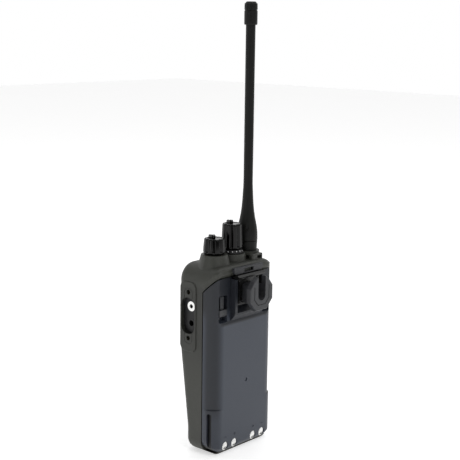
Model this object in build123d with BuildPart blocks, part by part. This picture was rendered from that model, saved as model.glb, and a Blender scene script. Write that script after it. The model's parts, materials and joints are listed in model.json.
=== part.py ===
"""Two way radio: housing, controls, antenna, battery pack and belt stud, as separate pieces.

Millimetres. +Z is up, the front faces -Y and the battery faces +Y. The origin is on the
bottom face, in the middle of the width, where the plane between housing and battery meets it.
"""
import os

from build123d import *

os.makedirs("parts", exist_ok=True)

# driving dimensions: housing
width = 53.0            # housing and battery, side to side
half = width / 2
top_z = 112.5           # flat top of the housing
back_y = 10.2           # back plane of the battery, measured from the seam plane
front_y = -19.6         # front face, upper part
toe_y = -13.2           # front face at the bottom
wall = 1.8              # housing wall
shoulder_z = 98.0       # where the seam leaves the seam plane and runs back
ridge_z = 108.0         # where the seam reaches the back plane
bottom_corner = 7.6
top_corner = 10.0
lip_depth = 7.2         # housing lip under the battery
lip_height = 1.0

# controls on the top
control_y = -3.2        # the two knobs and the antenna stand on one line
volume_x = 13.3
channel_x = -1.9
antenna_x = -15.6
collar_top = 118.0
shaft_r = 2.5
bush_r = 3.5
running = 0.05          # radial clearance of a shaft in its bush
whip_top = 262.0
lug_top = 115.7         # strap lug

# keys
key_gap = 0.25          # around every sprung key
side_y = -8.6           # middle of the keys on the talk side
ptt_z = 74.0
ptt_size = (9.0, 26.0)
side_key_zs = (52.0, 40.5)
side_key_size = (7.0, 8.5)
front_key_xs = (-15.0, -5.0, 5.0, 15.0)
front_key_z = 76.0
front_key_size = (8.0, 5.0)

# accessory side
jack_y = -10.05
jack_high_z = 87.6
jack_low_z = 77.4
pad_x = 27.1            # raised pad
recess_x = 24.65        # floor of the recess
recess_y = -10.8
recess_z = 82.2
recess_size = (10.6, 21.6)
insert_y = -10.5
insert_high_z = 96.4
insert_low_z = 68.8

# battery pack
case_low = lip_height + 0.25
case_front = 0.7
seam_gap = 1.0          # along the sloped part of the seam
pack_corner = 8.5       # lower corners of the battery
case_high = ridge_z - seam_gap
recess_back = 9.2       # upper, recessed zone of the back
ledge_low_z = 79.0
ledge_high_z = 83.0
latch_x = 18.9
latch_width = 6.8
step_z = 28.0           # below the step the rear edges are rounded less than above it
contact_xs = (-16.4, -8.4, 8.4, 16.4)
contact_z = 4.9

# belt clip base and stud
rail_half = 12.9        # outside of the rails
rail_back = 13.4
rail_low_z = 85.0
rail_high_z = 105.2
stud_back = 22.3        # outer face of the stud
stud_front = 19.2
stud_half = 9.75
slot_half = 3.15
slot_round_z = 95.7


def save(builder, label):
    """Label a finished piece and write it."""
    builder.part.label = label
    export_step(builder.part, f"parts/{label}.step")


def edges_where(builder, test):
    """Edges of a part whose middle point passes the test."""
    return builder.edges().filter_by(lambda edge: test(edge @ 0.5))


def housing_outline(inset):
    """Rounded outline of the housing seen from the front: four sides and four corner arcs."""
    side = half - inset
    low = inset
    high = top_z - inset
    low_r = bottom_corner - inset
    high_r = top_corner - inset
    with BuildLine() as line:
        Line((-side + low_r, low), (side - low_r, low))
        RadiusArc((side - low_r, low), (side, low + low_r), -low_r)
        Line((side, low + low_r), (side, high - high_r))
        RadiusArc((side, high - high_r), (side - high_r, high), -high_r)
        Line((side - high_r, high), (-side + high_r, high))
        RadiusArc((-side + high_r, high), (-side, high - high_r), -high_r)
        Line((-side, high - high_r), (-side, low + low_r))
        RadiusArc((-side, low + low_r), (-side + low_r, low), -low_r)
    return line.line


def front_bends(sketch):
    """The two corners where the front face leans back towards the bottom."""
    return [v for v in sketch.vertices() if v.Y < -10 and 10 < v.Z < 70]


# ------------------------------------------------------------------ rounding of the rear edges
# What is left outside a rounded vertical edge: a quarter circle below the step, and a wider
# quarter ellipse above it.
with BuildPart() as edge_waste:
    for low, high, side_r, back_r in ((-1.0, step_z, 6.8, 6.8), (step_z, top_z + 1, 8.0, 9.4)):
        with BuildSketch(Plane.XY.offset(low)) as waste:
            with BuildLine():
                centre = (half - side_r, back_y - back_r)
                EllipticalCenterArc(centre, side_r, back_r, start_angle=0, arc_size=90)
                Polyline(
                    (half - side_r, back_y),
                    (half - side_r, back_y + 2),
                    (half + 2, back_y + 2),
                    (half + 2, back_y - back_r),
                    (half, back_y - back_r),
                )
            make_face()
            mirror(about=Plane.YZ)
        extrude(amount=high - low)

# ------------------------------------------------------------------ housing
# The hollow inside the housing: open at the seam plane, closed everywhere else.
with BuildPart() as case_hollow:
    with BuildSketch(Plane.XZ.offset(-back_y)):
        add(housing_outline(wall))
        make_face()
    extrude(amount=35)
    with BuildSketch(Plane.YZ) as hollow_side:
        with BuildLine():
            Polyline(
                (1, wall),
                (1, shoulder_z - 1),
                (0, shoulder_z - 1),
                (back_y - 2.2, ridge_z + 0.2),
                (back_y - 2.2, top_z),
                (front_y + 6, top_z),
                (front_y + wall, top_z - 6),
                (front_y + wall, 64),
                (toe_y + wall, 14),
                (toe_y + wall, wall),
                (1, wall),
            )
        make_face()
        fillet(front_bends(hollow_side), 40)
    extrude(amount=half, both=True, mode=Mode.INTERSECT)

# Collars on the top: a cone under each knob, a ring under the antenna.
with BuildPart() as collars:
    for x, low_r, high_r, high in (
        (volume_x, 9.9, 7.7, collar_top),
        (channel_x, 8.7, 8.0, collar_top - 1.2),
        (antenna_x, 7.6, 7.3, collar_top - 1.4),
    ):
        with BuildSketch(Plane.XY.offset(top_z - 2.5)):
            with Locations((x, control_y)):
                Circle(low_r)
        with BuildSketch(Plane.XY.offset(high)):
            with Locations((x, control_y)):
                Circle(high_r)
        loft()

# Strap lug behind the antenna.
with BuildPart() as strap_lug:
    with BuildSketch(Plane.XY.offset(top_z - 1.5)):
        with Locations((-13.7, 3.4)):
            RectangleRounded(9.6, 7.4, 1.2)
    extrude(amount=lug_top - top_z + 1.5)
    fillet(strap_lug.faces().sort_by(Axis.Z)[-1].edges(), 0.6)

# Raised pad on the accessory side.
with BuildPart() as accessory_pad:
    with BuildSketch(Plane.YZ.offset(half - 3.5)):
        with Locations((recess_y - 0.2, recess_z - 0.6)):
            RectangleRounded(12.6, 42.0, 4.0)
    extrude(amount=pad_x - half + 3.5)
    fillet(accessory_pad.faces().sort_by(Axis.X)[-1].edges(), 0.5)

with BuildPart() as front_case:
    with BuildSketch(Plane.XZ.offset(-back_y)):
        add(housing_outline(0))
        make_face()
    extrude(amount=35)
    with BuildSketch(Plane.YZ) as case_side:
        with BuildLine():
            Polyline(
                (lip_depth, 0),
                (lip_depth, lip_height),
                (0, lip_height),
                (0, shoulder_z),
                (back_y, ridge_z),
                (back_y, top_z + 5),
                (front_y, top_z + 5),
                (front_y, 64),
                (toe_y, 14),
                (toe_y, -5),
                (lip_depth, -5),
                (lip_depth, 0),
            )
        make_face()
        fillet(front_bends(case_side), 40)
    extrude(amount=half + 5, both=True, mode=Mode.INTERSECT)
    fillet(edges_where(front_case, lambda p: p.Y > back_y - 0.05 and p.Z > ridge_z + 1), 3.6)
    front_faces = front_case.faces().filter_by(
        lambda f: f.normal_at().Y < -0.8 and f.center().Y < -10
    )
    rim = front_faces.edges().filter_by(
        lambda e: abs((e @ 0.5).X) > half - 0.1 or not 1 < (e @ 0.5).Z < top_z - 9.9
    )
    fillet(rim, 4.5)
    add(collars.part)
    add(strap_lug.part)
    add(accessory_pad.part)
    # shallow line round the two screw holes
    with BuildSketch(Plane.YZ.offset(pad_x - 0.2)):
        with Locations((insert_y, recess_z)):
            RectangleRounded(6.4, 33.2, 2.6)
            RectangleRounded(5.9, 32.7, 2.35, mode=Mode.SUBTRACT)
    extrude(amount=1, mode=Mode.SUBTRACT)
    add(case_hollow.part, mode=Mode.SUBTRACT)
    add(edge_waste.part, mode=Mode.SUBTRACT)
    # posts for the chassis screws
    for x in (-19.5, 19.5):
        for z, reach in ((9.0, 5.4), (94.0, 11.4)):
            with BuildSketch(Plane.XZ.offset(7.0)):
                with Locations((x, z)):
                    Circle(2.8)
            extrude(amount=reach)
            with BuildSketch(Plane.XZ.offset(6.0)):
                with Locations((x, z)):
                    Circle(1.0)
            extrude(amount=reach, mode=Mode.SUBTRACT)
    # passage for the strap, which turns round the corner post of the lug
    with BuildSketch(Plane.XY.offset(top_z + 0.4)):
        with Locations((-11.7, 3.1)):
            Rectangle(9.0, 2.4)
        with Locations((-15.0, 5.0)):
            Rectangle(3.6, 6.2)
    extrude(amount=1.9, mode=Mode.SUBTRACT)
    # bores for the two bushes, with a seat for each nut, and for the antenna socket
    for x, high in ((volume_x, collar_top), (channel_x, collar_top - 1.2)):
        with BuildSketch(Plane.XY.offset(top_z - 4)):
            with Locations((x, control_y)):
                Circle(bush_r + 0.1)
        extrude(amount=12, mode=Mode.SUBTRACT)
        with BuildSketch(Plane.XY.offset(high - 2.2)):
            with Locations((x, control_y)):
                Circle(5.6)
        extrude(amount=5, mode=Mode.SUBTRACT)
    with BuildSketch(Plane.XY.offset(top_z - 4)):
        with Locations((antenna_x, control_y)):
            Circle(4.6)
    extrude(amount=12, mode=Mode.SUBTRACT)
    # accessory recess, and the holes over the two inserts
    with BuildSketch(Plane.YZ.offset(half - 3)):
        with Locations((recess_y, recess_z)):
            RectangleRounded(*recess_size, 4.7)
    extrude(amount=6, mode=Mode.SUBTRACT)
    with BuildSketch(Plane.YZ.offset(half - 3)):
        with Locations((insert_y, insert_high_z), (insert_y, insert_low_z)):
            Circle(1.4)
    extrude(amount=6, mode=Mode.SUBTRACT)
    # openings for the keys on the talk side
    with BuildSketch(Plane.YZ.offset(-half + 3)):
        with Locations((side_y, ptt_z)):
            RectangleRounded(ptt_size[0] + 2 * key_gap, ptt_size[1] + 2 * key_gap, 2.5)
        with Locations(*[(side_y, z) for z in side_key_zs]):
            RectangleRounded(side_key_size[0] + 2 * key_gap, side_key_size[1] + 2 * key_gap, 1.8)
    extrude(amount=-6, mode=Mode.SUBTRACT)
    # front face: display seat and sight opening, keys, microphone, light pipe, grille
    with BuildSketch(Plane.XZ.offset(-front_y - 1.3)):
        with Locations((0, 95.5)):
            RectangleRounded(31.3, 16.3, 1.5)
    extrude(amount=5, mode=Mode.SUBTRACT)
    with BuildSketch(Plane.XZ.offset(15)):
        with Locations((0, 95.5)):
            Rectangle(27.0, 12.0)
        with Locations(*[(x, front_key_z) for x in front_key_xs]):
            RectangleRounded(front_key_size[0] + 2 * key_gap, front_key_size[1] + 2 * key_gap, 1.2)
        with Locations((16, 66)):
            Circle(0.6)
        with Locations((-20, 105)):
            Circle(1.5)
    extrude(amount=8, mode=Mode.SUBTRACT)
    with BuildSketch(Plane.XZ.offset(9)):
        with GridLocations(0, 3.4, 1, 7):
            with Locations((0, 38)):
                SlotOverall(26.0, 1.5)
    extrude(amount=15, mode=Mode.SUBTRACT)
save(front_case, "front_case")

# ------------------------------------------------------------------ chassis and boards
screw_spots = [(x, z) for x in (-19.5, 19.5) for z in (9.0, 94.0)]
terminal_xs = (-6.0, 0.0, 6.0)
terminal_z = 15.0

with BuildPart() as rear_chassis:
    with BuildSketch(Plane.XZ.offset(0.15)):
        with Locations((0, 49.6)):
            RectangleRounded(49.0, 94.4, 6.0)
    extrude(amount=1.5)
    # shallow pockets that stiffen the plate
    with BuildSketch(Plane.XZ.offset(0.15)):
        with Locations((0, 62), (0, 32)):
            RectangleRounded(33.0, 24.0, 2.0)
    extrude(amount=0.5, mode=Mode.SUBTRACT)
    with BuildSketch(Plane.XZ.offset(0.15)):
        with Locations(*screw_spots):
            Circle(1.3)
        with Locations(*[(x, terminal_z) for x in terminal_xs]):
            Circle(1.6)
    extrude(amount=1.5, mode=Mode.SUBTRACT)
    with BuildSketch(Plane.XZ.offset(0.15)):
        with Locations(*screw_spots):
            Circle(2.4)
    extrude(amount=0.9, mode=Mode.SUBTRACT)
save(rear_chassis, "rear_chassis")

with BuildPart() as main_seal:
    with BuildSketch(Plane.XZ.offset(1.65)):
        with Locations((0, 49.6)):
            RectangleRounded(49.0, 94.4, 6.0)
            RectangleRounded(46.6, 92.0, 5.0, mode=Mode.SUBTRACT)
    extrude(amount=1.0)
save(main_seal, "main_seal")

with BuildPart() as chassis_screws:
    with BuildSketch(Plane.XZ.offset(0.25)):
        with Locations(*screw_spots):
            Circle(2.3)
    extrude(amount=0.8)
    with BuildSketch(Plane.XZ.offset(1.05)):
        with Locations(*screw_spots):
            Circle(1.0)
    extrude(amount=9.0)
    with BuildSketch(Plane.XZ.offset(0.25)):
        with Locations(*screw_spots):
            Rectangle(2.6, 0.5)
            Rectangle(0.5, 2.6)
    extrude(amount=0.5, mode=Mode.SUBTRACT)
save(chassis_screws, "chassis_screws")

with BuildPart() as main_board:
    with BuildSketch(Plane.XZ.offset(5.4)):
        with Locations((0.6, 49.5)):
            RectangleRounded(42.8, 89.0, 1.5)
        with Locations(*screw_spots):
            Circle(3.2, mode=Mode.SUBTRACT)
    extrude(amount=1.2)
save(main_board, "main_board")


def shield_can(z, height):
    """A thin folded can, open towards the board."""
    with BuildPart() as can:
        with BuildSketch(Plane.XZ.offset(3.2)):
            with Locations((0, z)):
                RectangleRounded(34.0, height, 1.0)
        extrude(amount=2.2)
        with BuildSketch(Plane.XZ.offset(3.5)):
            with Locations((0, z)):
                RectangleRounded(33.4, height - 0.6, 0.7)
        extrude(amount=2.2, mode=Mode.SUBTRACT)
    return can


shield_can_rf = shield_can(70.0, 34.0)
save(shield_can_rf, "shield_can_rf")
shield_can_logic = shield_can(36.0, 26.0)
save(shield_can_logic, "shield_can_logic")

with BuildPart() as front_board:
    with BuildSketch(Plane.XZ.offset(11.2)):
        with Locations((-1.2, 82)):
            Rectangle(30.0, 40.0)
    extrude(amount=1.0)
save(front_board, "front_board")

with BuildPart() as display_module:
    with BuildSketch(Plane.XZ.offset(12.25)):
        with Locations((0, 95.5)):
            RectangleRounded(29.0, 15.0, 0.6)
    extrude(amount=3.2)
save(display_module, "display_module")

with BuildPart() as display_window:
    with BuildSketch(Plane.XZ.offset(-front_y - 1.25)):
        with Locations((0, 95.5)):
            RectangleRounded(31.0, 16.0, 1.4)
    extrude(amount=1.1)
    fillet(edges_where(display_window, lambda p: p.Y < front_y + 0.2), 0.3)
save(display_window, "display_window")

with BuildPart() as keypad_mat:
    with BuildSketch(Plane.XZ.offset(14.1)):
        with Locations((0, front_key_z)):
            RectangleRounded(40.0, 8.0, 1.5)
    extrude(amount=0.8)
save(keypad_mat, "keypad_mat")

# ------------------------------------------------------------------ front keys
for number, x in enumerate(front_key_xs, start=1):
    with BuildPart() as front_key:
        with BuildSketch(Plane.XZ.offset(15.6)):
            with Locations((x, front_key_z)):
                RectangleRounded(*front_key_size, 1.0)
        extrude(amount=4.8)
        fillet(edges_where(front_key, lambda p: p.Y < -20.3), 0.6)
    save(front_key, f"front_key_{number}")

# ------------------------------------------------------------------ loudspeaker
speaker_z = 38.0
speaker_r = 17.0

with BuildPart() as speaker_frame:
    with BuildSketch(Plane.XZ.offset(8.0)):
        with Locations((0, speaker_z)):
            Circle(speaker_r)
    extrude(amount=3.5)
    with BuildSketch(Plane.XZ.offset(8.8)):
        with Locations((0, speaker_z)):
            Circle(speaker_r - 1.2)
    extrude(amount=2.7, mode=Mode.SUBTRACT)
save(speaker_frame, "speaker_frame")

with BuildPart() as speaker_cone:
    with BuildSketch(Plane.YZ) as cone_profile:
        with BuildLine():
            Polyline(
                (-11.3, speaker_z + 15.6),
                (-9.6, speaker_z + 5.0),
                (-10.6, speaker_z),
                (-10.9, speaker_z),
                (-9.9, speaker_z + 5.2),
                (-11.5, speaker_z + 15.6),
                (-11.3, speaker_z + 15.6),
            )
        make_face()
    revolve(axis=Axis((0, 0, speaker_z), (0, 1, 0)))
save(speaker_cone, "speaker_cone")

with BuildPart() as speaker_magnet:
    with BuildSketch(Plane.XZ.offset(6.85)):
        with Locations((0, speaker_z)):
            Circle(8.0)
    extrude(amount=1.15)
save(speaker_magnet, "speaker_magnet")

with BuildPart() as speaker_mesh:
    with BuildSketch(Plane.XZ.offset(11.6)):
        with Locations((0, speaker_z)):
            Circle(16.0)
    extrude(amount=0.3)
save(speaker_mesh, "speaker_mesh")

with BuildPart() as microphone:
    with BuildSketch(Plane.XZ.offset(15.4)):
        with Locations((16, 66)):
            Circle(3.0)
    extrude(amount=2.2)
save(microphone, "microphone")

with BuildPart() as light_pipe:
    with BuildSketch(Plane.XZ.offset(13)):
        with Locations((-20, 105)):
            Circle(1.45)
    extrude(amount=6.8)
    fillet(edges_where(light_pipe, lambda p: p.Y < -19.7), 0.5)
save(light_pipe, "light_pipe")

# ------------------------------------------------------------------ talk side
key_back_x = half - 2.1


def side_key(z, size, corner, proud):
    """A key cap that stands proud of the talk side."""
    with BuildPart() as cap:
        with BuildSketch(Plane.YZ.offset(-key_back_x)):
            with Locations((side_y, z)):
                RectangleRounded(*size, corner)
        extrude(amount=-(half + proud - key_back_x))
        fillet(edges_where(cap, lambda p: p.X < -half - proud + 0.01), proud * 0.8)
    return cap


ptt_button = side_key(ptt_z, ptt_size, 2.3, 1.4)
save(ptt_button, "ptt_button")
side_key_upper = side_key(side_key_zs[0], side_key_size, 1.6, 1.0)
save(side_key_upper, "side_key_upper")
side_key_lower = side_key(side_key_zs[1], side_key_size, 1.6, 1.0)
save(side_key_lower, "side_key_lower")

with BuildPart() as side_seal:
    with BuildSketch(Plane.YZ.offset(-half + 4.0)):
        with Locations((side_y, 61)):
            RectangleRounded(11.0, 54.0, 2.0)
    extrude(amount=-0.9)
save(side_seal, "side_seal")

with BuildPart() as side_switch_board:
    with BuildSketch(Plane.YZ.offset(-half + 4.9)):
        with Locations((side_y - 0.4, 61)):
            RectangleRounded(9.6, 52.0, 1.0)
    extrude(amount=-0.8)
save(side_switch_board, "side_switch_board")


# ------------------------------------------------------------------ volume and channel
def control_body(x, side, collar_high):
    """Body and threaded bush of a rotary control, with the bore for its shaft."""
    with BuildPart() as control:
        with BuildSketch(Plane.XY.offset(top_z - 9.0)):
            with Locations((x, control_y)):
                RectangleRounded(side, side, 0.8)
        extrude(amount=6.0)
        with BuildSketch(Plane.XY.offset(top_z - 3.0)):
            with Locations((x, control_y)):
                Circle(bush_r)
        extrude(amount=collar_high - 0.5 - top_z + 3.0)
        with BuildSketch(Plane.XY.offset(top_z - 8.0)):
            with Locations((x, control_y)):
                Circle(shaft_r + running)
        extrude(amount=20, mode=Mode.SUBTRACT)
    return control


def control_nut(x, high):
    """Hexagonal nut seated in the top of the collar."""
    with BuildPart() as nut:
        with BuildSketch(Plane.XY.offset(high - 2.15)):
            with Locations((x, control_y)):
                RegularPolygon(5.2, 6)
                Circle(bush_r, mode=Mode.SUBTRACT)
        extrude(amount=1.5)
    return nut


def control_shaft(x, high):
    """Shaft of a rotary control, with the flat that drives the knob."""
    with BuildPart() as shaft:
        with BuildSketch(Plane.XY.offset(top_z - 7.5)):
            with Locations((x, control_y)):
                Circle(shaft_r)
        extrude(amount=high - top_z + 7.5)
        with BuildSketch(Plane.XY.offset(high - 5)):
            with Locations((x, control_y + 2.4)):
                Rectangle(6, 1.6)
        extrude(amount=6, mode=Mode.SUBTRACT)
    return shaft


def fluted_outline(radius, flutes):
    """A circle with rounded flutes cut round it, drawn in the current sketch."""
    Circle(radius)
    with PolarLocations(radius + 1.3, flutes):
        Circle(1.9, mode=Mode.SUBTRACT)


def fluted_knob(x, low_z, high_z, low_r, high_r, skirt_r, flutes):
    """Tapered knob with rounded flutes over a plain skirt, and a raised pointer on top."""
    base = Plane((x, control_y, 0))
    waist_z = low_z + 1.8
    with BuildPart() as knob:
        with BuildSketch(base.offset(low_z)):
            Circle(skirt_r)
        with BuildSketch(base.offset(waist_z)):
            Circle(low_r)
        loft()
        with BuildSketch(base.offset(waist_z)):
            fluted_outline(low_r, flutes)
        with BuildSketch(base.offset(high_z)):
            fluted_outline(high_r, flutes)
        loft()
        with BuildSketch(base.offset(high_z)):
            RectangleRounded(1.5, 6.4, 0.6)
        extrude(amount=1.1)
        with BuildSketch(base.offset(low_z)):
            Circle(shaft_r)
        extrude(amount=high_z - low_z - 2.0, mode=Mode.SUBTRACT)
    return knob


volume_pot = control_body(volume_x, 11.0, collar_top)
save(volume_pot, "volume_pot")
volume_nut = control_nut(volume_x, collar_top)
save(volume_nut, "volume_nut")
volume_shaft = control_shaft(volume_x, 125.4)
save(volume_shaft, "volume_shaft")
channel_encoder = control_body(channel_x, 10.6, collar_top - 1.2)
save(channel_encoder, "channel_encoder")
channel_nut = control_nut(channel_x, collar_top - 1.2)
save(channel_nut, "channel_nut")
channel_shaft = control_shaft(channel_x, 132.2)
save(channel_shaft, "channel_shaft")
volume_knob = fluted_knob(volume_x, 118.4, 127.6, 6.6, 5.9, 5.9, 9)
save(volume_knob, "volume_knob")
channel_knob = fluted_knob(channel_x, 117.1, 134.4, 6.2, 5.75, 6.7, 9)
save(channel_knob, "channel_knob")

with BuildPart() as knob_seals:
    with BuildSketch(Plane.XY.offset(top_z - 3.0)):
        with Locations((volume_x, control_y), (channel_x, control_y)):
            Circle(4.3)
            Circle(bush_r, mode=Mode.SUBTRACT)
    extrude(amount=1.0)
save(knob_seals, "knob_seals")

# ------------------------------------------------------------------ antenna
antenna_low = collar_top - 1.1
antenna_plane = Plane((antenna_x, control_y, 0), x_dir=(1, 0, 0), z_dir=(0, -1, 0))
antenna_axis = Axis((antenna_x, control_y, 0), (0, 0, 1))
grip_plane = Plane((antenna_x, control_y, 0), x_dir=(-0.64, 0.77, 0), z_dir=(0.77, 0.64, 0))

with BuildPart() as antenna_socket:
    with BuildSketch(Plane.XY.offset(top_z - 6.0)):
        with Locations((antenna_x, control_y)):
            Circle(4.5)
    extrude(amount=antenna_low - 0.5 - top_z + 6.0)
    with BuildSketch(Plane.XY.offset(top_z - 6.0)):
        with Locations((antenna_x, control_y)):
            Circle(5.2)
    extrude(amount=2.0)
    with BuildSketch(Plane.XY.offset(top_z - 4.5)):
        with Locations((antenna_x, control_y)):
            Circle(2.5 + running)
    extrude(amount=12, mode=Mode.SUBTRACT)
save(antenna_socket, "antenna_socket")

with BuildPart() as antenna_seal:
    with BuildSketch(Plane.XY.offset(antenna_low - 0.45)):
        with Locations((antenna_x, control_y)):
            Circle(4.3)
            Circle(2.7, mode=Mode.SUBTRACT)
    extrude(amount=0.4)
save(antenna_seal, "antenna_seal")

with BuildPart() as antenna_pin:
    with BuildSketch(Plane.XY.offset(top_z - 3.5)):
        with Locations((antenna_x, control_y)):
            Circle(2.5)
    extrude(amount=antenna_low - top_z + 3.5)
    chamfer(edges_where(antenna_pin, lambda p: p.Z < top_z - 3.4), 0.5)
save(antenna_pin, "antenna_pin")

with BuildPart() as antenna_ferrule:
    with BuildSketch(Plane.XY.offset(antenna_low)):
        with Locations((antenna_x, control_y)):
            Circle(4.4)
    extrude(amount=3.2)
save(antenna_ferrule, "antenna_ferrule")

with BuildPart() as antenna_radiator:
    with BuildSketch(Plane.XY.offset(antenna_low + 3.2)):
        with Locations((antenna_x, control_y)):
            Circle(1.2)
    extrude(amount=whip_top - 6.0 - antenna_low - 3.2)
save(antenna_radiator, "antenna_radiator")

with BuildPart() as antenna_sheath:
    with BuildSketch(antenna_plane):
        with BuildLine():
            Line((1.2, antenna_low + 3.2), (4.4, antenna_low + 3.2))
            Line((4.4, antenna_low + 3.2), (4.4, antenna_low))
            Line((4.4, antenna_low), (5.8, antenna_low))
            Line((5.8, antenna_low), (6.1, antenna_low + 5.2))
            Line((6.1, antenna_low + 5.2), (5.85, antenna_low + 5.45))
            Line((5.85, antenna_low + 5.45), (6.15, antenna_low + 5.8))
            Spline(
                (6.15, antenna_low + 5.8),
                (6.0, 128.0),
                (5.2, 133.0),
                (4.4, 137.0),
                (3.5, 144.0),
                (3.0, 152.0),
                (2.75, 162.0),
                tangents=((0, 1), (0, 1)),
            )
            Line((2.75, 162.0), (2.8, whip_top - 13.2))
            Line((2.8, whip_top - 13.2), (1.2, whip_top - 13.2))
            Line((1.2, whip_top - 13.2), (1.2, antenna_low + 3.2))
        make_face()
    revolve(axis=antenna_axis)
    # oblong grip mark on the bulb
    with BuildSketch(grip_plane.offset(5.1)):
        with Locations((0, 131.6)):
            SlotOverall(5.4, 1.7, rotation=90)
    extrude(amount=3, mode=Mode.SUBTRACT)
save(antenna_sheath, "antenna_sheath")

with BuildPart() as antenna_cap:
    with BuildSketch(antenna_plane):
        with BuildLine():
            Polyline(
                (0, whip_top - 6.0),
                (1.2, whip_top - 6.0),
                (1.2, whip_top - 13.2),
                (3.6, whip_top - 13.2),
                (3.85, whip_top - 12.6),
                (3.85, whip_top - 5.4),
                (3.6, whip_top - 5.1),
                (3.6, whip_top - 4.7),
                (3.85, whip_top - 4.4),
                (3.75, whip_top - 1.2),
                (2.5, whip_top),
                (0, whip_top),
                (0, whip_top - 6.0),
            )
        make_face()
    revolve(axis=antenna_axis)
save(antenna_cap, "antenna_cap")

# ------------------------------------------------------------------ accessory side
with BuildPart() as jack_plate:
    with BuildSketch(Plane.YZ.offset(recess_x - 1.6)):
        with Locations((recess_y - 0.2, recess_z)):
            RectangleRounded(11.8, 22.6, 4.0)
        with Locations((jack_y, jack_high_z), (jack_y, jack_low_z)):
            Circle(2.9, mode=Mode.SUBTRACT)
    extrude(amount=1.6)
save(jack_plate, "jack_plate")


def jack(z, hole_r, nose):
    """Jack socket: a barrel behind the plate and a nose through it, bored along X."""
    with BuildPart() as socket:
        with BuildSketch(Plane.YZ.offset(15.0)):
            with Locations((jack_y, z)):
                Circle(3.3)
        extrude(amount=recess_x - 1.6 - 15.0)
        with BuildSketch(Plane.YZ.offset(recess_x - 1.6)):
            with Locations((jack_y, z)):
                Circle(2.9)
        extrude(amount=1.6 + nose)
        with BuildSketch(Plane.YZ.offset(16.0)):
            with Locations((jack_y, z)):
                Circle(hole_r)
        extrude(amount=14, mode=Mode.SUBTRACT)
    return socket


jack_upper = jack(jack_high_z, 1.25, 0.4)
save(jack_upper, "jack_upper")
jack_lower = jack(jack_low_z, 1.75, 0.15)
save(jack_lower, "jack_lower")

with BuildPart() as accessory_inserts:
    with BuildSketch(Plane.YZ.offset(22.6)):
        with Locations((insert_y, insert_high_z), (insert_y, insert_low_z)):
            Circle(1.9)
            Circle(1.05, mode=Mode.SUBTRACT)
    extrude(amount=2.0)
save(accessory_inserts, "accessory_inserts")

# ------------------------------------------------------------------ battery pack
# Space for the cells: its rear edges are rounded so that the wall stays even.
with BuildPart() as cell_space:
    with BuildSketch(Plane.XZ.offset(-case_front)):
        with Locations((0, 40.6)):
            RectangleRounded(48.4, 74.0, 3.5)
    extrude(amount=-(8.2 - case_front))
    fillet(cell_space.faces().sort_by(Axis.Y)[-1].edges(), 3.3)

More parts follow.
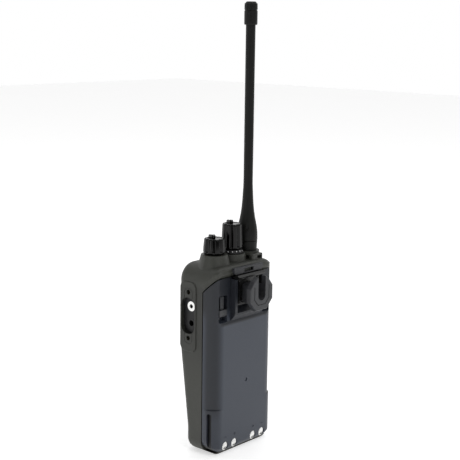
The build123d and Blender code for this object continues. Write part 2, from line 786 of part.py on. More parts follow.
with BuildPart() as battery_case:
    with BuildSketch(Plane.XZ.offset(-back_y)):
        with Locations((0, (case_low + ridge_z) / 2)):
            Rectangle(width, ridge_z - case_low)
    extrude(amount=back_y - case_front)
    low_corners = edges_where(battery_case, lambda p: abs(p.X) > half - 0.1 and p.Z < case_low + 0.1)
    fillet(low_corners, pack_corner)
    with BuildSketch(Plane.YZ):
        with BuildLine():
            Polyline(
                (case_front, case_low - 1),
                (case_front, shoulder_z + case_front - seam_gap),
                (back_y, case_high),
                (back_y, case_low - 1),
                (case_front, case_low - 1),
            )
        make_face()
    extrude(amount=half, both=True, mode=Mode.INTERSECT)
    # the top corners follow the corners of the housing
    with BuildSketch(Plane.XZ.offset(-back_y)):
        with Locations((0, top_z - 75)):
            RectangleRounded(width, 150, top_corner)
    extrude(amount=back_y, mode=Mode.INTERSECT)
    back_rim = battery_case.faces().sort_by(Axis.Y)[-1].edges().filter_by(
        lambda e: (e @ 0.5).Z < case_high - 1
    )
    fillet(back_rim, 3.6)
    add(edge_waste.part, mode=Mode.SUBTRACT)
    # recessed upper zone with a sloped ledge under it
    with BuildSketch(Plane.YZ):
        with BuildLine():
            Polyline(
                (back_y + 0.1, ledge_low_z - 0.4),
                (recess_back, ledge_high_z),
                (recess_back, ridge_z + 1),
                (back_y + 3, ridge_z + 1),
                (back_y + 3, ledge_low_z - 0.4),
                (back_y + 0.1, ledge_low_z - 0.4),
            )
        make_face()
    extrude(amount=23.4, both=True, mode=Mode.SUBTRACT)
    # rails with inward lips, and the sloped stop that closes them below
    with BuildSketch(Plane.XY.offset(rail_low_z)):
        for side in (-1, 1):
            with Locations((side * (rail_half - 0.5), (recess_back + rail_back) / 2 - 0.2)):
                Rectangle(1.0, rail_back - recess_back + 0.4)
            with Locations((side * (rail_half - 1.0), rail_back - 0.45)):
                Rectangle(2.0, 0.9)
    extrude(amount=rail_high_z - rail_low_z)
    with BuildSketch(Plane.YZ):
        with BuildLine():
            Polyline(
                (recess_back - 0.2, ledge_low_z + 0.4),
                (rail_back - 0.4, rail_low_z - 1.0),
                (rail_back - 0.4, rail_low_z),
                (recess_back - 0.2, rail_low_z + 3.6),
                (recess_back - 0.2, ledge_low_z + 0.4),
            )
        make_face()
    extrude(amount=rail_half, both=True)
    # space for the cells, and the seat of the inner cover
    add(cell_space.part, mode=Mode.SUBTRACT)
    with BuildSketch(Plane.XZ.offset(-case_front)):
        with Locations((0, 40.6)):
            RectangleRounded(50.6, 75.6, 4.0)
    extrude(amount=-1.2, mode=Mode.SUBTRACT)
    # latch windows
    for side in (-1, 1):
        with BuildSketch(Plane.XZ.offset(-5.2)):
            with Locations((side * latch_x, 88.2)):
                RectangleRounded(latch_width, 15.8, 1.0)
        extrude(amount=-8, mode=Mode.SUBTRACT)
    # charge contact holes
    with BuildSketch(Plane.XZ.offset(-8.0)):
        with Locations(*[(x, contact_z) for x in contact_xs]):
            Circle(2.6)
    extrude(amount=-4, mode=Mode.SUBTRACT)
    # guide grooves for the charger on both sides
    for side in (-1, 1):
        with BuildSketch(Plane.YZ.offset(side * (half - 1.7))):
            with Locations((5.6, 13.2)):
                SlotOverall(25.4, 2.8, rotation=90)
        extrude(amount=side * 2, mode=Mode.SUBTRACT)
    # polarity marks over the contacts, and a shallow dimple in the back
    with BuildSketch(Plane.XZ.offset(-back_y + 0.25)):
        for x in contact_xs:
            with Locations((x, contact_z + 5.6)):
                Rectangle(1.7, 0.4)
        with Locations((contact_xs[1], contact_z + 5.6), (contact_xs[2], contact_z + 5.6)):
            Rectangle(0.4, 1.7)
    extrude(amount=-1, mode=Mode.SUBTRACT)
    with BuildSketch(Plane.XZ.offset(-back_y + 0.45)):
        with Locations((-1.2, 41.8)):
            Circle(1.1)
    extrude(amount=-1, mode=Mode.SUBTRACT)
save(battery_case, "battery_case")

with BuildPart() as battery_cover:
    with BuildSketch(Plane.XZ.offset(-case_front)):
        with Locations((0, 40.6)):
            RectangleRounded(50.4, 75.4, 3.9)
        with Locations(*[(x, terminal_z) for x in terminal_xs]):
            Circle(2.0, mode=Mode.SUBTRACT)
    extrude(amount=-1.2)
save(battery_cover, "battery_cover")

with BuildPart() as battery_terminals:
    with BuildSketch(Plane.XZ.offset(-case_front - 0.15)):
        with Locations(*[(x, terminal_z) for x in terminal_xs]):
            Circle(1.95)
    extrude(amount=-1.2)
save(battery_terminals, "battery_terminals")

with BuildPart() as battery_cells:
    with BuildSketch(Plane.XZ.offset(-2.1)):
        with Locations((-11.8, 45.0), (11.8, 45.0)):
            RectangleRounded(23.2, 62.0, 2.5)
    extrude(amount=-5.1)
    fillet(battery_cells.edges().filter_by(lambda e: (e @ 0.5).Y > 7.1), 2.2)
save(battery_cells, "battery_cells")

with BuildPart() as battery_board:
    with BuildSketch(Plane.XZ.offset(-6.6)):
        with Locations((0, 9.6)):
            RectangleRounded(42.0, 8.0, 0.8)
    extrude(amount=-1.2)
save(battery_board, "battery_board")

with BuildPart() as charge_contacts:
    with BuildSketch(Plane.XZ.offset(-8.0)):
        with Locations(*[(x, contact_z) for x in contact_xs]):
            Circle(2.55)
    extrude(amount=-1.3)
save(charge_contacts, "charge_contacts")

with BuildPart() as chassis_contacts:
    with BuildSketch(Plane.XZ.offset(-0.6)):
        with Locations(*[(x, terminal_z) for x in terminal_xs]):
            Circle(1.5)
    extrude(amount=5.35)
    fillet(edges_where(chassis_contacts, lambda p: p.Y > 0.5), 0.5)
save(chassis_contacts, "chassis_contacts")


def latch(side):
    """Latch slider: a finger block, a slim beam above it and a nose at its top."""
    with BuildPart() as slider:
        with BuildSketch(Plane.XZ.offset(-5.9)):
            with Locations((side * latch_x, 85.6)):
                Rectangle(latch_width - 0.7, 4.4)
        extrude(amount=-3.7)
        chamfer(edges_where(slider, lambda p: p.Y > 9.5 and p.Z < 83.5), 1.1)
        with BuildSketch(Plane.XZ.offset(-6.2)):
            with Locations((side * latch_x, 91.4)):
                Rectangle(3.0, 8.0)
        extrude(amount=-2.2)
    return slider


latch_left = latch(-1)
save(latch_left, "latch_left")
latch_right = latch(1)
save(latch_right, "latch_right")

with BuildPart() as latch_springs:
    for side in (-1, 1):
        with BuildSketch(Plane.XZ.offset(-5.2)):
            with Locations((side * latch_x, 88.2)):
                Rectangle(2.0, 14.6)
        extrude(amount=-0.4)
save(latch_springs, "latch_springs")

# ------------------------------------------------------------------ belt clip base and stud
plate_front = 10.4
plate_back = 11.4
runner_back = rail_back - 1.05

with BuildPart() as clip_base:
    with BuildSketch(Plane.XZ.offset(-plate_front)):
        with Locations((0, 97.2)):
            Rectangle(2 * (rail_half - 1.25), 16.4)
    extrude(amount=-(plate_back - plate_front))
    # runners held behind the lips of the rails
    with BuildSketch(Plane.XZ.offset(-plate_back)):
        with Locations((rail_half - 2.15, 97.2), (2.15 - rail_half, 97.2)):
            Rectangle(1.8, 16.4)
    extrude(amount=-(runner_back - plate_back))
    # ribs across the sunk middle
    with BuildSketch(Plane.XZ.offset(-plate_back)):
        with Locations((-8.4, 97.2), (8.4, 97.2)):
            Rectangle(0.8, 14.0)
    extrude(amount=-0.7)
    # hood over the rails
    with BuildSketch(Plane.YZ):
        with BuildLine():
            Polyline(
                (plate_front, 105.4),
                (14.6, 105.4),
                (14.8, 106.4),
                (13.6, 107.4),
                (plate_front, 107.4),
                (plate_front, 105.4),
            )
        make_face()
    extrude(amount=11.5, both=True)
save(clip_base, "clip_base")

with BuildPart() as clip_release:
    with BuildSketch(Plane.XZ.offset(-plate_front)):
        with BuildLine():
            Polyline(
                (-12.6, 109.2),
                (-11.2, 107.75),
                (11.2, 107.75),
                (12.6, 109.2),
                (12.6, 111.6),
                (-12.6, 111.6),
                (-12.6, 109.2),
            )
        make_face()
        with Locations((0, 109.4)):
            Rectangle(8.0, 2.2, mode=Mode.SUBTRACT)
    extrude(amount=-1.7)
    fillet(edges_where(clip_release, lambda p: p.Y > 12 and p.Z > 111.5), 0.6)
save(clip_release, "clip_release")

with BuildPart() as belt_stud:
    with BuildSketch(Plane.XZ.offset(-stud_front)):
        with BuildLine():
            Polyline(
                (-4.8, 86.8),
                (4.8, 86.8),
                (stud_half, 92.3),
                (stud_half, 100.4),
                (6.6, 104.3),
                (3.6, 106.6),
                (-3.6, 106.6),
                (-6.6, 104.3),
                (-stud_half, 100.4),
                (-stud_half, 92.3),
                (-4.8, 86.8),
            )
        make_face()
    extrude(amount=-(stud_back - stud_front))
    fillet(edges_where(belt_stud, lambda p: p.Y > stud_back - 0.05), 0.5)
    # neck between the clip base and the stud
    with BuildSketch(Plane.XZ.offset(-plate_back)):
        with Locations((0, 95.6)):
            RectangleRounded(9.6, 12.0, 2.0)
    extrude(amount=-(stud_front - plate_back))
    # shallow line set in from the outline
    with BuildSketch(Plane.XZ.offset(-stud_back + 0.35)):
        with BuildLine():
            line = Polyline(
                (-6.3, 101.0),
                (-6.3, 93.6),
                (-3.4, 90.2),
                (3.4, 90.2),
                (6.3, 93.6),
                (6.3, 101.0),
            )
            offset(line, amount=0.25)
        make_face()
    extrude(amount=-1, mode=Mode.SUBTRACT)
    # U slot, open at the top
    with BuildSketch(Plane.XZ.offset(-14.6)):
        with Locations((0, slot_round_z)):
            Circle(slot_half)
        with Locations((0, slot_round_z + 8)):
            Rectangle(2 * slot_half, 16)
    extrude(amount=-10, mode=Mode.SUBTRACT)
save(belt_stud, "belt_stud")

with BuildPart() as stud_rivet:
    with BuildSketch(Plane.XZ.offset(-14.6)):
        with Locations((0, slot_round_z - 1.3)):
            Circle(1.3)
    extrude(amount=-3.8)
    fillet(edges_where(stud_rivet, lambda p: p.Y > 18.3), 0.6)
save(stud_rivet, "stud_rivet")
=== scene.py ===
import json
import math

import bpy
import numpy as np
from mathutils import Matrix


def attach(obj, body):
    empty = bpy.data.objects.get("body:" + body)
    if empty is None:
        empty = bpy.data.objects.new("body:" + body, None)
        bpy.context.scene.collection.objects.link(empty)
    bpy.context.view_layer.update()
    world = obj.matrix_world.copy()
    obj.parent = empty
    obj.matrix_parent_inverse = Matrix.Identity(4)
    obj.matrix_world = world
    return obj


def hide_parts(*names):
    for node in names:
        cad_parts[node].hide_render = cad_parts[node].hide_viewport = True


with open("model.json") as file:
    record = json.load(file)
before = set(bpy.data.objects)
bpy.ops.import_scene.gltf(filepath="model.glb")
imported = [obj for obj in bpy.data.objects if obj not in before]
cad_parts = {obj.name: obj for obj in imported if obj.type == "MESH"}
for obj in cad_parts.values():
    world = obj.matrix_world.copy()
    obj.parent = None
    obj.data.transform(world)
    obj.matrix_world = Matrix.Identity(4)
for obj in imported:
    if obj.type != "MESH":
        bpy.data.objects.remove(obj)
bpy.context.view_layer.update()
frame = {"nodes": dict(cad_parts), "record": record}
mm = 0.001
scene = bpy.context.scene
print("frame loaded:", len(frame["nodes"]), "nodes")


# camera

view = {
    "eye": (470.1, 417.2, 250.7),   # mm from the frame's origin
    "azimuth": 131.8,               # degrees, 0 looks along +Y
    "tilt": 10.8,                   # degrees downwards
    "roll": 0.8,                    # degrees, the camera leans to its left
    "lens": 85.67,                  # mm
    "sensor": 36.0,                 # mm
}


def placed(right, up, back, place):
    # a 4 x 4 matrix from three axes and an origin
    m = np.eye(4)
    m[:3, 0], m[:3, 1], m[:3, 2], m[:3, 3] = right, up, back, place
    return Matrix(m.tolist())


def makeCamera(v):
    a, t, r = (math.radians(v[k]) for k in ("azimuth", "tilt", "roll"))
    back = np.array([math.sin(a) * math.cos(t), -math.cos(a) * math.cos(t), math.sin(t)])
    right = np.cross([0, 0, 1], back)
    right /= np.linalg.norm(right)
    up = np.cross(back, right)
    data = bpy.data.cameras.new("camera")
    data.lens = v["lens"]
    data.sensor_width = v["sensor"]
    data.clip_start = 0.02
    cam = bpy.data.objects.new("camera", data)
    # roll turns right and up about the line of sight
    cam.matrix_world = placed(math.cos(r) * right + math.sin(r) * up,
                              math.cos(r) * up - math.sin(r) * right, back, np.array(v["eye"]) * mm)
    scene.collection.objects.link(cam)
    scene.camera = cam


makeCamera(view)
scene.view_settings.view_transform = "Standard"
print("camera placed")


# materials

def fromHex(code):
    c = np.array([int(code[i:i + 2], 16) for i in (1, 3, 5)]) / 255
    # sRGB to linear: a straight foot, then a power of 2.4
    lin = np.where(c <= 0.04045, c / 12.92, ((c + 0.055) / 1.055) ** 2.4)
    return (*map(float, lin), 1.0)


def node(tree, kind, links=None, **settings):
    # settings go to sockets where there is one of that name, otherwise to the node itself
    n = tree.nodes.new(kind)
    for key, value in settings.items():
        if key in n.inputs.keys():
            n.inputs[key].default_value = value
        else:
            setattr(n, key, value)
    for key, source in (links or {}).items():
        tree.links.new(source, n.inputs[key])
    return n


def newMaterial(name):
    m = bpy.data.materials.new(name)
    m.use_nodes = True
    return m, m.node_tree, m.node_tree.nodes["Principled BSDF"]


def objectPoint(tree):
    return node(tree, "ShaderNodeTexCoord").outputs["Object"]


def between(tree, source, start, end):
    # 0 below start, 1 above end, smooth in between
    r = node(tree, "ShaderNodeMapRange", {"Value": source}, interpolation_type="SMOOTHSTEP")
    r.inputs["From Min"].default_value = start
    r.inputs["From Max"].default_value = end
    return r.outputs["Result"]


def blend(tree, factor, a, b):
    # a where the factor is 0, b where it is 1; each is a colour or a socket
    n = node(tree, "ShaderNodeMix", data_type="RGBA")
    tree.links.new(factor, n.inputs["Factor"])
    colours = [s for s in n.inputs if s.type == "RGBA"]
    for socket, value in zip(colours, (a, b)):
        if isinstance(value, tuple):
            socket.default_value = value
        else:
            tree.links.new(value, socket)
    return [s for s in n.outputs if s.type == "RGBA"][0]


def moulded(name, f):
    # injection moulded plastic or rubber: eroded grain, slow tone drift and a worn sheen
    m, t, shader = newMaterial(name)
    point = objectPoint(t)
    grain = node(t, "ShaderNodeTexNoise", {"Vector": point}, Scale=1 / (f["grain"] * mm), Detail=3.0)
    drift = node(t, "ShaderNodeTexNoise", {"Vector": point}, Scale=1 / (18 * mm), Detail=4.0)
    speck = between(t, grain.outputs["Fac"], 0.35, 0.75)
    base = fromHex(f["colour"])
    low = shaded(base, f.get("drift", 0.88))
    light = tuple(min(1.0, x * f.get("fleck", 1.25)) for x in base[:3]) + (1.0,)
    tone = blend(t, drift.outputs["Fac"], low, base)
    tone = blend(t, speck, tone, light)
    if "zone" in f:
        tone = f["zone"](t, point, tone, base)
    t.links.new(tone, shader.inputs["Base Color"])
    rough = node(t, "ShaderNodeMapRange", {"Value": drift.outputs["Fac"]})
    rough.inputs["To Min"].default_value = f["rough"] - 0.05
    rough.inputs["To Max"].default_value = f["rough"] + 0.06
    t.links.new(rough.outputs["Result"], shader.inputs["Roughness"])
    bump = node(t, "ShaderNodeBump", {"Height": grain.outputs["Fac"]},
                Strength=f.get("relief", 0.6), Distance=f["depth"] * mm)
    t.links.new(bump.outputs["Normal"], shader.inputs["Normal"])
    shader.inputs["Specular IOR Level"].default_value = f.get("specular", 0.4)
    return m


def metal(name, f):
    # turned, drawn or cast metal: fine scratches along one direction over a slow haze
    m, t, shader = newMaterial(name)
    point = objectPoint(t)
    stretch = node(t, "ShaderNodeMapping", {"Vector": point})
    stretch.inputs["Scale"].default_value = f.get("lay", (1.0, 1.0, 0.06))
    lines = node(t, "ShaderNodeTexNoise", {"Vector": stretch.outputs["Vector"]},
                 Scale=1 / (f["grain"] * mm), Detail=4.0)
    base = fromHex(f["colour"])
    dull = shaded(base, 0.75)
    t.links.new(blend(t, lines.outputs["Fac"], dull, base), shader.inputs["Base Color"])
    rough = node(t, "ShaderNodeMapRange", {"Value": lines.outputs["Fac"]})
    rough.inputs["To Min"].default_value = f["rough"] * 0.8
    rough.inputs["To Max"].default_value = f["rough"] * 1.3
    t.links.new(rough.outputs["Result"], shader.inputs["Roughness"])
    bump = node(t, "ShaderNodeBump", {"Height": lines.outputs["Fac"]},
                Strength=0.4, Distance=f["depth"] * mm)
    t.links.new(bump.outputs["Normal"], shader.inputs["Normal"])
    shader.inputs["Metallic"].default_value = 1.0
    return m


def split(tree, point):
    return node(tree, "ShaderNodeSeparateXYZ", {"Vector": point}).outputs


def shaded(base, share):
    # a darker version of a colour, the same hue
    return tuple(v * share for v in base[:3]) + (1.0,)


def product(tree, a, b):
    # two masks multiplied: 1 only where both are
    return node(tree, "ShaderNodeMath", {0: a, 1: b}, operation="MULTIPLY").outputs["Value"]


# where and how strongly the pack is painted darker, as painted shade and a painted dark reflection
packZone = {"polished": (80, 90), "rails": (9.35, 10.0), "railsFrom": (77.5, 79),
            "edgeX": (18.5, 23.5), "edgeY": (0.5, 4.5), "step": (20, 31), "low": 0.4, "gain": 0.55,
            "grooveX": (25.6, 25.2), "grooveZ": (27.5, 26.5), "grooveY": (7.3, 6.9),
            "dark": 0.3, "grooveShade": 0.08}   # spans in mm; low, gain and dark are shares, and so is the painted groove shade
# the band of painted shade on the housing sides: spans in mm, then the share of the base colour
shellZone = {"rise": (45, 70), "fall": (106, 96), "dark": 0.7}


def ramp(tree, source, span):
    return between(tree, source, span[0] * mm, span[1] * mm)


def batteryZone(tree, point, tone, base):
    # painted shade: above the ledge the whole pack is painted much darker
    at = split(tree, point)
    dark = shaded(base, packZone["dark"])
    tone = blend(tree, ramp(tree, at["Z"], packZone["polished"]), tone, dark)
    # painted shade: the rails and the ledge stand proud, and are painted black as the shadow of the clip and
    # stud there
    proud = product(tree, ramp(tree, at["Y"], packZone["rails"]), ramp(tree, at["Z"], packZone["railsFrom"]))
    tone = blend(tree, proud, tone, dark)
    # painted reflection: the rounded rear edges are painted darker, standing for the dim near side reflected
    # in them, less so below the step
    wide = node(tree, "ShaderNodeMath", {0: at["X"]}, operation="ABSOLUTE").outputs["Value"]
    edgeReflection = product(tree, ramp(tree, wide, packZone["edgeX"]), ramp(tree, at["Y"], packZone["edgeY"]))
    faint = node(tree, "ShaderNodeMath", {0: ramp(tree, at["Z"], packZone["step"])},
                 operation="MULTIPLY_ADD")
    faint.inputs[1].default_value = packZone["gain"]
    faint.inputs[2].default_value = packZone["low"]
    tone = blend(tree, product(tree, edgeReflection, faint.outputs["Value"]), tone, dark)
    # painted shade: the charger groove in the side is painted almost black
    groove = product(tree, ramp(tree, wide, packZone["grooveX"]), ramp(tree, at["Z"], packZone["grooveZ"]))
    groove = product(tree, groove, ramp(tree, at["Y"], packZone["grooveY"]))
    return blend(tree, groove, tone, shaded(base, packZone["grooveShade"]))


def housingZone(tree, point, tone, base):
    # painted shade: a band of the sides, from about 45 to 106 mm up, is painted darker
    z = split(tree, point)["Z"]
    sideShade = product(tree, ramp(tree, z, shellZone["rise"]), ramp(tree, z, shellZone["fall"]))
    return blend(tree, sideShade, tone, shaded(base, shellZone["dark"]))


# lengths in mm; each note says what the eye sees
housing = {"colour": "#363732", "rough": 0.48, "grain": 0.22, "depth": 0.02, "specular": 0.4,
           "zone": housingZone}
battery = {"colour": "#383d47", "rough": 0.42, "grain": 0.2, "depth": 0.015, "specular": 0.4,
           "zone": batteryZone}
knobGloss = {"colour": "#030303", "rough": 0.11, "grain": 0.8, "depth": 0.001, "specular": 0.24}
whip = {"colour": "#0b0c0a", "rough": 0.5, "grain": 0.3, "depth": 0.01, "specular": 0.22}
nylon = {"colour": "#0f0f11", "rough": 0.5, "grain": 0.25, "depth": 0.01}
clipNylon = {"colour": "#303134", "rough": 0.4, "grain": 0.2, "depth": 0.01}
# the clip base: a darker copy of the black nylon as painted shade, its flecks painted glints
sunkNylon = {"colour": "#060606", "rough": 0.25, "grain": 0.5, "depth": 0.03, "fleck": 6.0}
softKey = {"colour": "#151615", "rough": 0.62, "grain": 0.2, "depth": 0.01}
mask = {"colour": "#12402a", "rough": 0.35, "grain": 0.4, "depth": 0.005}
window = {"colour": "#0b0d0d", "rough": 0.08, "grain": 1.0, "depth": 0.0005, "specular": 0.6}
panel = {"colour": "#59654f", "rough": 0.25, "grain": 0.4, "depth": 0.001}
woven = {"colour": "#0b0b0b", "rough": 0.9, "grain": 0.12, "depth": 0.05}
lens = {"colour": "#7e8580", "rough": 0.15, "grain": 0.6, "depth": 0.001}
nickel = {"colour": "#f7f7f5", "rough": 0.22, "grain": 0.15, "depth": 0.004}
steel = {"colour": "#9b9c9d", "rough": 0.32, "grain": 0.12, "depth": 0.004}
alloy = {"colour": "#86888b", "rough": 0.5, "grain": 0.5, "depth": 0.03, "lay": (1.0, 1.0, 1.0)}
brass = {"colour": "#c4a05a", "rough": 0.28, "grain": 0.12, "depth": 0.003}
gold = {"colour": "#e0b45f", "rough": 0.22, "grain": 0.12, "depth": 0.002}
can = {"colour": "#7a8190", "rough": 0.38, "grain": 0.2, "depth": 0.003}

finish = {
    "housing": moulded("erodedPolycarbonateGrey", housing),      # matt, a fine even grain, warm grey
    "battery": moulded("satinPolycarbonateBlueGrey", battery),   # smoother and bluer than the housing
    "knob": moulded("polishedAcetalBlack", knobGloss),           # deep black with hard highlights
    "antenna_rubber": moulded("extrudedRubberBlack", whip),      # soft sheen, greenish black
    "black_plastic": moulded("mouldedNylonBlack", nylon),        # dull black
    "clip_plastic": moulded("glassFilledNylonGrey", clipNylon),  # dense grey, slightly shiny
    "bright_metal": metal("nickelPlate", nickel),                # almost white
    "steel": metal("rolledSteel", steel),                        # grey with fine drawn lines
    "alloy": metal("dieCastAlloy", alloy),                       # dull, mottled
    "brass": metal("turnedBrass", brass),                        # yellow, ringed
    "gold": metal("goldFlash", gold),                            # warm and smooth
    "board": moulded("solderMaskGreen", mask),                   # glassy green
    "display_clear": moulded("hardCoatedAcrylic", window),       # black glass look
    "display": moulded("displayPanel", panel),                   # grey green
    "silicone": moulded("siliconeBlack", softKey),               # matt, slightly chalky
    "felt": moulded("wovenDustCloth", woven),                    # black, no sheen
    "cell": metal("drawnCellCan", can),                          # blue grey metal
    "clear_lens": moulded("frostedPolycarbonateLens", lens),     # milky
}
slotOf = {s["node"]: s["material_slot"] for s in frame["record"]["subparts"]}
for name, obj in frame["nodes"].items():
    obj.data.materials.clear()
    obj.data.materials.append(finish[slotOf[name]])
sunk = moulded("nylonBlackPaintedShadeAndGlints", sunkNylon)   # black nylon, painted darker still as shade in the sunken slot, shiny, with light flecks: scratches painted bright as glints
frame["nodes"]["clip_base"].data.materials.clear()
frame["nodes"]["clip_base"].data.materials.append(sunk)
print("materials made:", len(finish) + 1)


# pieces with more shape than the solids they stand for

def gridFaces(rows, columns):
    # quads between neighbouring rows of points, closed into a ring along the columns
    i, j = np.meshgrid(np.arange(rows - 1), np.arange(columns), indexing="ij")
    k = (j + 1) % columns
    quads = np.stack([i * columns + j, i * columns + k, (i + 1) * columns + k, (i + 1) * columns + j], -1)
    return quads.reshape(-1, 4)


def meshObject(name, points, faces, material):
    # points are in metres
    mesh = bpy.data.meshes.new(name)
    mesh.from_pydata(points.tolist(), [], [list(map(int, f)) for f in faces])
    mesh.validate()
    mesh.shade_smooth()
    mesh.materials.append(material)
    obj = bpy.data.objects.new(name, mesh)
    scene.collection.objects.link(obj)
    return obj


def turnedSolid(name, profile, groove, flutes, place, material, columns=252):
    # radius = profile radius - groove depth * (0.5 + 0.5 cos(flutes * angle)) ** 4
    rows = np.array(profile)
    depth = np.array(groove)
    angle = np.linspace(0, 2 * np.pi, columns, endpoint=False)
    wave = (0.5 + 0.5 * np.cos(flutes * angle)) ** 4
    radius = rows[:, 1:2] - depth[:, None] * wave[None, :]
    points = np.stack([place[0] + radius * np.cos(angle), place[1] + radius * np.sin(angle),
                       np.repeat(rows[:, :1], columns, 1)], -1).reshape(-1, 3) * mm
    faces = [*gridFaces(len(rows), columns).tolist(),
             list(range(columns))[::-1], list(range((len(rows) - 1) * columns, len(rows) * columns))]
    return meshObject(name, points, faces, material)


# height from the end, step in from the radius there, groove depth, in mm
knobFoot = ((0, 0.9, 0), (0.35, 0.6, 0), (1.1, 0.15, 0.15), (1.6, 0, 0.4))
knobDish = ((0.25, 1.5, 0.15), (0.35, 2.2, 0))
knobTurn = {"bodyFrom": 1.9, "bodyTo": 1.0, "swell": 1.3, "lip": (0.02, 1.15), "centre": 0.6}


def knobProfile(k):
    # rows of height, radius and groove depth: bevelled foot, a taper that goes as height ** swell,
    # a quarter round shoulder, a lip and a dished top
    z0, z1, r0, r1, groove, curl = (k[w] for w in ("low", "high", "lowR", "highR", "depth", "shoulder"))
    foot = [(z0 + up, r0 - step, g) for up, step, g in knobFoot]
    start, tall = z0 + knobTurn["bodyFrom"], z1 - z0 - knobTurn["bodyFrom"] - knobTurn["bodyTo"]
    body = [(start + t * tall, r0 + (r1 - r0) * t ** knobTurn["swell"], groove)
            for t in np.linspace(0, 1, 22)]
    shoulder = [(z1 - curl + curl * math.sin(a), r1 - curl + curl * math.cos(a), groove * (1 - 0.25 * a))
                for a in np.linspace(0.15, 1, 8) * np.pi / 2]
    down, step = knobTurn["lip"]
    top = [(z1 - down, r1 - step, groove * 0.5)] + [(z1 - down, r1 - step, g) for down, step, g in knobDish]
    top.append((top[-1][0], knobTurn["centre"], 0))
    rows = np.array(foot + body + shoulder + top)
    return rows[:, :2], rows[:, 2]


# the blade's cross-section as shares of its half width and height: upright sides, bevels, flat top
bladeEdge = ((-1, 0), (-0.94, 0.75), (-0.55, 1), (0.55, 1), (0.94, 0.75), (1, 0))
bladeRun = {"from": 0.6, "short": 1.6, "narrow": 0.55, "fall": 0.25, "sunk": 0.4}


def pointer(name, k, material):
    # half width shrinks with the square of the way along, height falls in a straight line
    s = np.linspace(0, 1, 14)
    half = k["blade"] * (1 - bladeRun["narrow"] * s ** 2)
    along = bladeRun["from"] + s * (k["highR"] - bladeRun["short"])
    section = np.array(bladeEdge)
    corners = len(section)
    side = half[:, None] * section[None, :, 0]
    tall = (k["bladeHigh"] + bladeRun["sunk"]) * (1 - bladeRun["fall"] * s[:, None])
    rise = k["high"] - bladeRun["sunk"] + tall * section[None, :, 1]
    c, d = math.cos(k["aim"]), math.sin(k["aim"])
    x = k["at"][0] + along[:, None] * c - side * d
    y = k["at"][1] + along[:, None] * d + side * c
    points = np.stack([x, y, rise], -1).reshape(-1, 3) * mm
    faces = gridFaces(len(s), corners).tolist()
    faces += [list(range(corners))[::-1], list(range((len(s) - 1) * corners, len(s) * corners))]
    obj = meshObject(name, points, faces, material)
    obj.data.shade_flat()
    return obj


volume = {"at": (13.3, -3.2), "low": 118.08, "high": 127.5, "lowR": 6.55, "highR": 6.0, "depth": 1.1,
          "shoulder": 0.9, "flutes": 9, "blade": 1.25, "bladeHigh": 1.9, "aim": math.radians(-100)}
channel = {"at": (-1.9, -3.2), "low": 118.9, "high": 134.3, "lowR": 6.2, "highR": 5.75, "depth": 0.95,
           "shoulder": 0.9, "flutes": 9, "blade": 1.25, "bladeHigh": 1.9, "aim": math.radians(-100)}
line = {"blade": 0.45, "above": 0.06}   # the white stroke along each pointer
black = finish["knob"]
paint, t, shader = newMaterial("padPrintedWhite")   # thin flat white ink
inkTone = node(t, "ShaderNodeTexNoise", {"Vector": objectPoint(t)}, Scale=2500.0)
inkColour = blend(t, inkTone.outputs["Fac"], fromHex("#e4e7e6"), fromHex("#fbfcfb"))
t.links.new(inkColour, shader.inputs["Base Color"])
shader.inputs["Roughness"].default_value = 0.6

for body, k in (("volume", volume), ("channel", channel)):
    profile, grooves = knobProfile(k)
    knob = turnedSolid(body + "_knob_surface", profile, grooves, k["flutes"], k["at"], black)
    blade = pointer(body + "_pointer", k, black)
    strokeShape = dict(k, blade=line["blade"], bladeHigh=k["bladeHigh"] + line["above"])
    stroke = pointer(body + "_pointer_line", strokeShape, paint)
    for piece in (knob, blade, stroke):
        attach(piece, body)
    if body == "volume":
        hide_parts("volume_knob")

# skirt under the channel knob, with its ring of numbers
skirt = {"low": 117.15, "high": 119.1, "lowR": 7.0, "highR": 6.05, "under": 5.2, "over": 4.0,
         "count": 16, "size": 1.8, "bold": 0.05, "lift": 0.25, "proud": 0.04}
rows = [(skirt["low"], skirt["under"]), (skirt["low"], skirt["lowR"] - 0.1),
        (skirt["low"] + 0.15, skirt["lowR"]), (skirt["high"] - 0.1, skirt["highR"] + 0.05),
        (skirt["high"], skirt["highR"] - 0.1), (skirt["high"], skirt["over"])]
ring = turnedSolid("channel_skirt", rows, np.zeros(len(rows)), 1, channel["at"], finish["black_plastic"])
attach(ring, "channel")
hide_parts("channel_knob")


def numberRing(s, place, material):
    # each number is a flat outline wrapped round the cone: x becomes angle, y climbs the slope
    points, faces = [], []
    for i in range(s["count"]):
        curve = bpy.data.curves.new("digit", "FONT")
        curve.body = str(i + 1)
        curve.size = s["size"]
        curve.align_x = "CENTER"
        curve.offset = s["bold"]   # a bolder stroke
        holder = bpy.data.objects.new("digit", curve)
        scene.collection.objects.link(holder)
        mesh = bpy.data.meshes.new_from_object(holder.evaluated_get(bpy.context.evaluated_depsgraph_get()))
        flat = np.array([v.co[:] for v in mesh.vertices])
        start = sum(len(p) for p in points)
        faces += [[start + v for v in p.vertices] for p in mesh.polygons]
        climb = np.clip((flat[:, 1] + s["lift"]) / (s["high"] - s["low"]), 0, 1)
        radius = s["lowR"] + (s["highR"] - s["lowR"]) * climb + s["proud"]
        angle = i * 2 * np.pi / s["count"] + flat[:, 0] / s["lowR"]
        points.append(np.stack([place[0] + radius * np.cos(angle), place[1] + radius * np.sin(angle),
                                s["low"] + climb * (s["high"] - s["low"])], -1) * mm)
        bpy.data.objects.remove(holder)
    return meshObject("channel_numbers", np.concatenate(points), faces, material)


numbers = numberRing(skirt, channel["at"], paint)
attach(numbers, "channel")
print("knobs made")

# charge contacts: dished discs with a rolled rim
contact = {"radius": 2.75, "face": 9.2, "z": 4.9, "xs": (-16.4, -8.4, 8.4, 16.4),
           "dish": 0.45, "rim": 0.12, "inner": 0.8}   # inner is the share of the radius that is dished


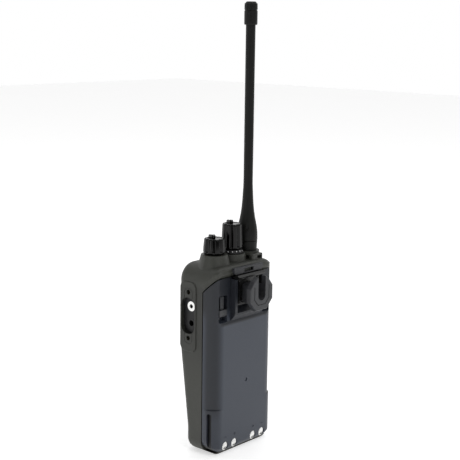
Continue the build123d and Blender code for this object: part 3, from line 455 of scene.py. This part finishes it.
def dishedDiscs(c, material, columns=64):
    # depth = dish * (1 - (r / inner) ** 2) inside, a half round rim outside
    inner, rim = c["inner"], 1 - c["inner"]
    r = np.concatenate([np.linspace(0.02, inner, 12), inner + rim * np.linspace(0.1, 1, 8)])
    bulge = c["rim"] * np.sin((r - inner) / rim * np.pi)
    rise = np.where(r < inner, -c["dish"] * (1 - (r / inner) ** 2), bulge)
    r, rise = np.append(r, 1.0), np.append(rise, -1.0)
    angle = np.linspace(0, 2 * np.pi, columns, endpoint=False)
    radius = c["radius"] * r[:, None]
    points, faces = [], []
    for n, x in enumerate(c["xs"]):
        points.append(np.stack([x + radius * np.cos(angle),
                                np.repeat(c["face"] + rise[:, None], columns, 1),
                                c["z"] - radius * np.sin(angle)], -1).reshape(-1, 3))
        start = n * len(r) * columns
        faces += (gridFaces(len(r), columns) + start).tolist()
        faces.append(list(range(start, start + columns)))
    return meshObject("dished_contacts", np.concatenate(points) * mm, faces, material)


discs = dishedDiscs(contact, finish["bright_metal"])
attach(discs, "battery")
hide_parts("charge_contacts")
print("contacts made")


# floor and light

# the world is strong on the far side and weak on the near one
light = {"world": 1.0, "dark": 0.13, "far": (-0.745, -0.667, 0.0), "edge": (-0.1, 0.5)}
# place, aim and size in metres, then watts
lamps = {"key": ((0.1, 1.3, 1.2), (0, 0, 0.06), (0.9, 0.9), 9.0),
         "side": ((1.5, 0.1, 0.5), (0, 0, 0.04), (0.6, 1.0), 3.0),
         "fill": ((0.9, -1.3, 0.4), (0, 0, 0.06), (0.6, 0.9), 2.0),
         "top": ((-0.2, -0.1, 1.5), (0, 0, 0.1), (0.8, 0.8), 3.0)}
stage = {"size": 6, "drop": 0.0002, "tone": 0.9, "glow": 0.5}


def areaLight(name, place, target, size, power):
    # a rectangle that faces its target, level from side to side
    data = bpy.data.lights.new(name, "AREA")
    data.shape = "RECTANGLE"
    data.size, data.size_y = size
    data.energy = power
    lamp = bpy.data.objects.new(name, data)
    place, target = np.array(place), np.array(target)
    back = (place - target) / np.linalg.norm(place - target)
    right = np.cross([0, 0, 1], back)
    right /= np.linalg.norm(right)
    lamp.matrix_world = placed(right, np.cross(back, right), back, place)
    scene.collection.objects.link(lamp)


bpy.ops.mesh.primitive_plane_add(size=stage["size"], location=(0, 0, -stage["drop"]))
floor = bpy.context.object
floor.name = "floor"
pale, t, shader = newMaterial("paleFloor")   # an even, pale paper sweep
shader.inputs["Base Color"].default_value = (stage["tone"], stage["tone"], stage["tone"], 1)
shader.inputs["Roughness"].default_value = 0.9
shader.inputs["Emission Color"].default_value = (1, 1, 1, 1)
shader.inputs["Emission Strength"].default_value = stage["glow"]
floor.data.materials.append(pale)

# the studio: white behind the object, dim in front of it
world = bpy.data.worlds.new("studio")
world.use_nodes = True
t = world.node_tree
towards = node(t, "ShaderNodeVectorMath", {0: node(t, "ShaderNodeTexCoord").outputs["Generated"]},
               operation="DOT_PRODUCT")
towards.inputs[1].default_value = light["far"]
lit = node(t, "ShaderNodeMapRange", {"Value": towards.outputs["Value"]}, interpolation_type="SMOOTHSTEP")
lit.inputs["From Min"].default_value = light["edge"][0]
lit.inputs["From Max"].default_value = light["edge"][1]
lit.inputs["To Min"].default_value = light["dark"]
lit.inputs["To Max"].default_value = light["world"]
t.nodes["Background"].inputs["Color"].default_value = (1, 1, 1, 1)
t.links.new(lit.outputs["Result"], t.nodes["Background"].inputs["Strength"])
scene.world = world

for name, (place, target, size, power) in lamps.items():
    areaLight(name, place, target, size, power)
print("studio made")
